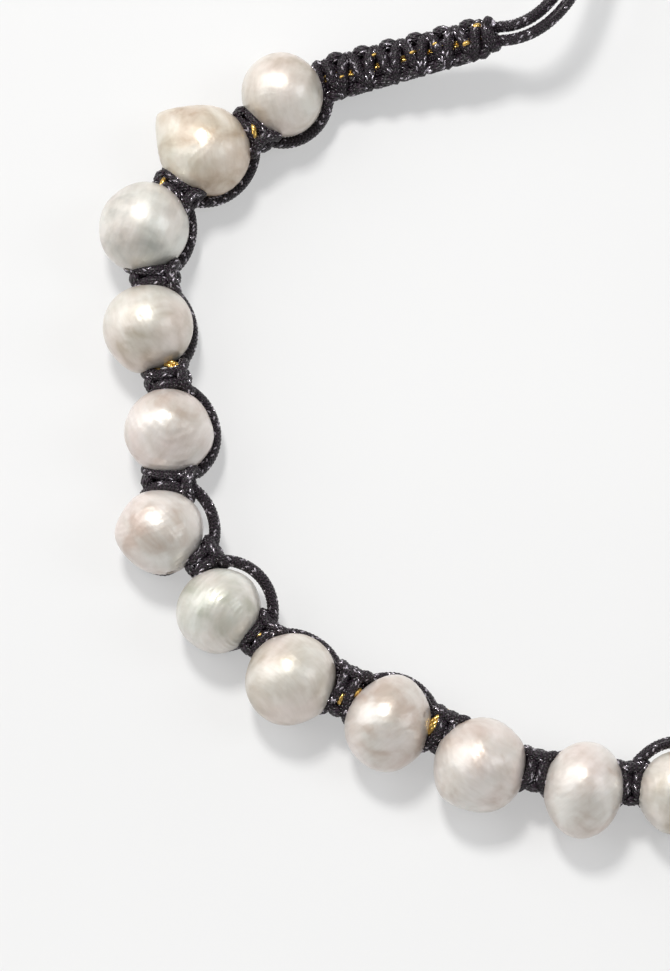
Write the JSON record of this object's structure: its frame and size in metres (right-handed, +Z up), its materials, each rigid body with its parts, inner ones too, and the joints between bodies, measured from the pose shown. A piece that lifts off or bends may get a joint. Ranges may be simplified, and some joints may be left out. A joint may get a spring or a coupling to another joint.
{
  "type": "knotted pearl bracelet",
  "caption": "Bracelet of baroque pearls knotted between two dark cords, with flat macrame bands and a sliding sleeve closure.",
  "frame": {"origin": "middle of the bracelet's outline, on the surface it lies on", "axes": "+Z up from the surface, +Y from the middle of the front row of pearls towards the closure, +X to the right"},
  "size_m": [0.086, 0.0742, 0.0058],
  "materials": {
    "nacre": "smooth lustrous nacre, cream with rose, beige and grey-green overtones",
    "dark_cord": "dark charcoal braided cord with metallic flecks",
    "gold_thread": "metallic gold braided thread"
  },
  "bodies": {
    "root": {"pearl_01": "nacre", "pearl_02": "nacre", "pearl_03": "nacre", "pearl_04": "nacre", "pearl_05": "nacre", "pearl_06": "nacre", "pearl_07": "nacre", "pearl_08": "nacre", "pearl_09": "nacre", "pearl_10": "nacre", "pearl_11": "nacre", "pearl_12": "nacre", "pearl_13": "nacre", "pearl_14": "nacre", "pearl_15": "nacre", "pearl_16": "nacre", "pearl_17": "nacre", "pearl_18": "nacre", "pearl_19": "nacre", "pearl_20": "nacre", "pearl_21": "nacre", "pearl_22": "nacre", "pearl_23": "nacre", "pearl_24": "nacre", "core_thread": "gold_thread", "side_cords": "dark_cord", "macrame_band_left": "dark_cord", "macrame_band_right": "dark_cord", "tail_left_inner": "dark_cord", "tail_left_outer": "dark_cord", "tail_right_inner": "dark_cord", "tail_right_outer": "dark_cord", "closure_sleeve": "dark_cord"}
  },
  "joints": []
}
